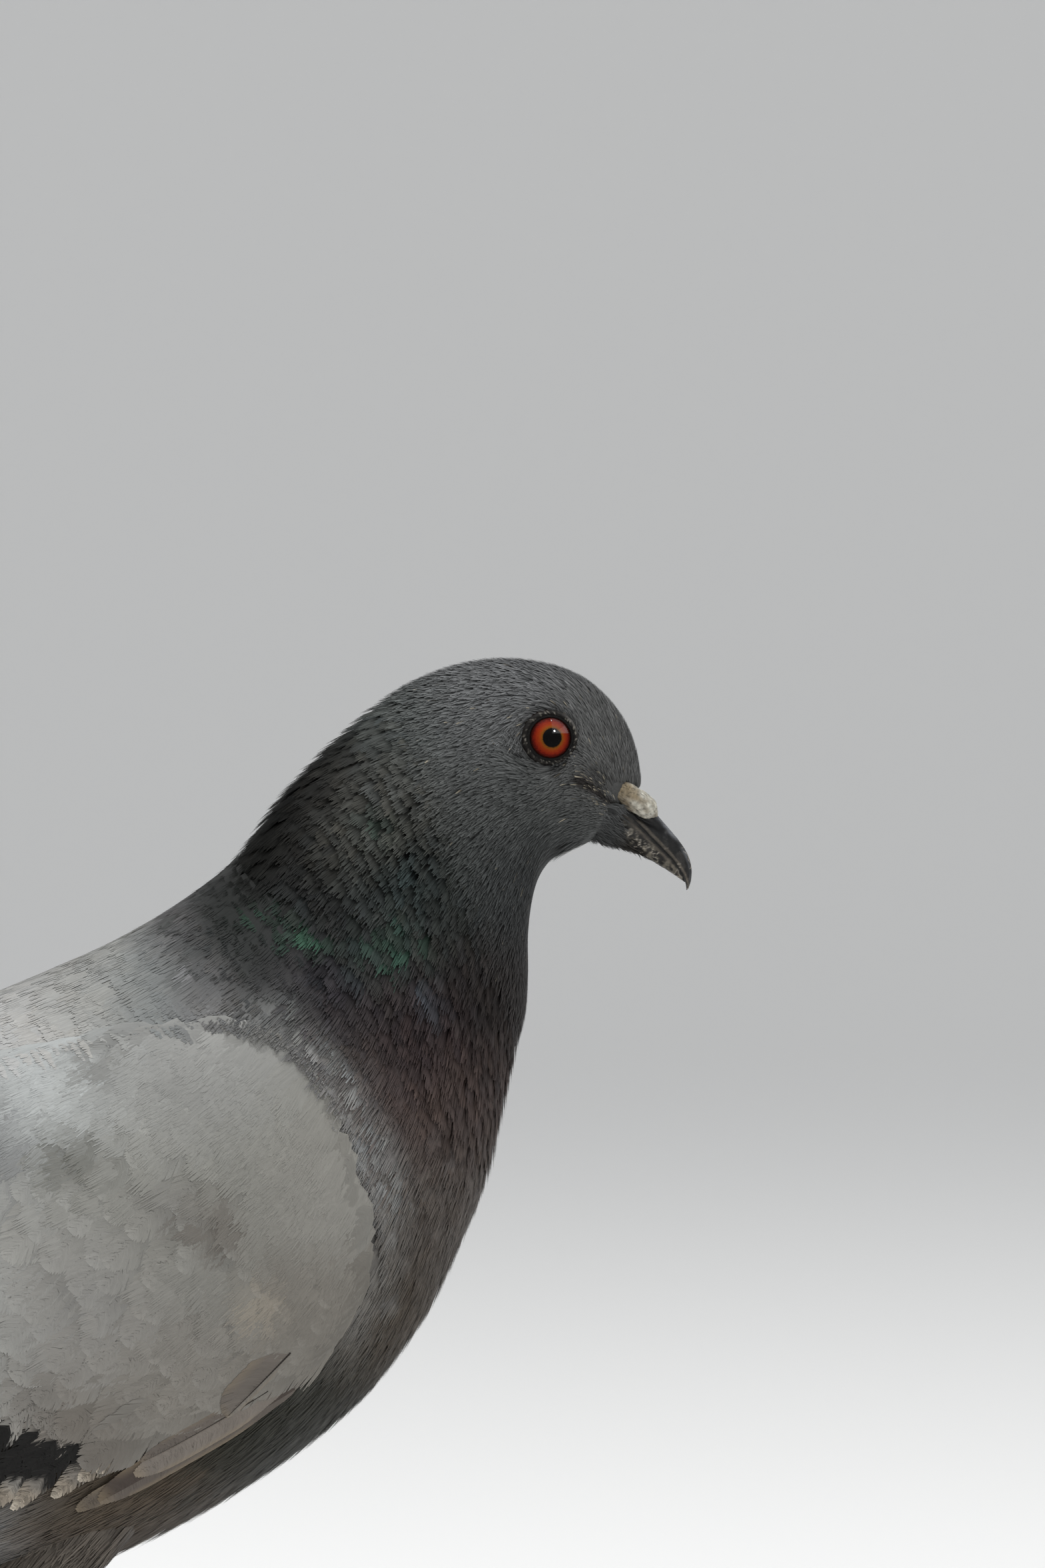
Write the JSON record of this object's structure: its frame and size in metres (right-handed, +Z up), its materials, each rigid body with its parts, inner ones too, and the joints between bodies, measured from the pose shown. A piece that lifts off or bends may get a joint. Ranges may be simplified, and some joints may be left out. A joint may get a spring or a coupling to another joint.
{
  "type": "pigeon",
  "caption": "Life-size standing pigeon with folded wings, head raised and bill angled down, as a still model on its own feet.",
  "frame": {"origin": "on the floor under the middle of the bird's bounding box", "axes": "+X the way the bird faces, its bill at the far end and its tail at the other; +Y its left side; +Z up"},
  "size_m": [0.269, 0.1004, 0.2068],
  "materials": {
    "head_feathers": "soft matt, very fine",
    "neck_feathers": "satin with a green to violet sheen",
    "body_feathers": "soft matt",
    "wing_feathers": "matt",
    "tail_feathers": "matt",
    "bill_horn": "satin, scratched",
    "cere_skin": "rough",
    "iris": "wet gloss",
    "eye_ring": "matt",
    "foot_scales": "satin",
    "claw_horn": "satin"
  },
  "bodies": {
    "root": {"bill_lower": "bill_horn", "bill_upper": "bill_horn", "cere_left": "cere_skin", "cere_right": "cere_skin", "claw_hind_left": "claw_horn", "claw_hind_right": "claw_horn", "claw_inner_left": "claw_horn", "claw_inner_right": "claw_horn", "claw_middle_left": "claw_horn", "claw_middle_right": "claw_horn", "claw_outer_left": "claw_horn", "claw_outer_right": "claw_horn", "eye_left": "iris", "eye_right": "iris", "head": "head_feathers", "lid_left": "eye_ring", "lid_right": "eye_ring", "neck": "neck_feathers", "tail": "tail_feathers", "tarsus_left": "foot_scales", "tarsus_right": "foot_scales", "thigh_left": "body_feathers", "thigh_right": "body_feathers", "toe_hind_left": "foot_scales", "toe_hind_right": "foot_scales", "toe_inner_left": "foot_scales", "toe_inner_right": "foot_scales", "toe_middle_left": "foot_scales", "toe_middle_right": "foot_scales", "toe_outer_left": "foot_scales", "toe_outer_right": "foot_scales", "torso": "body_feathers", "wing_left": "wing_feathers", "wing_right": "wing_feathers"}
  },
  "joints": []
}
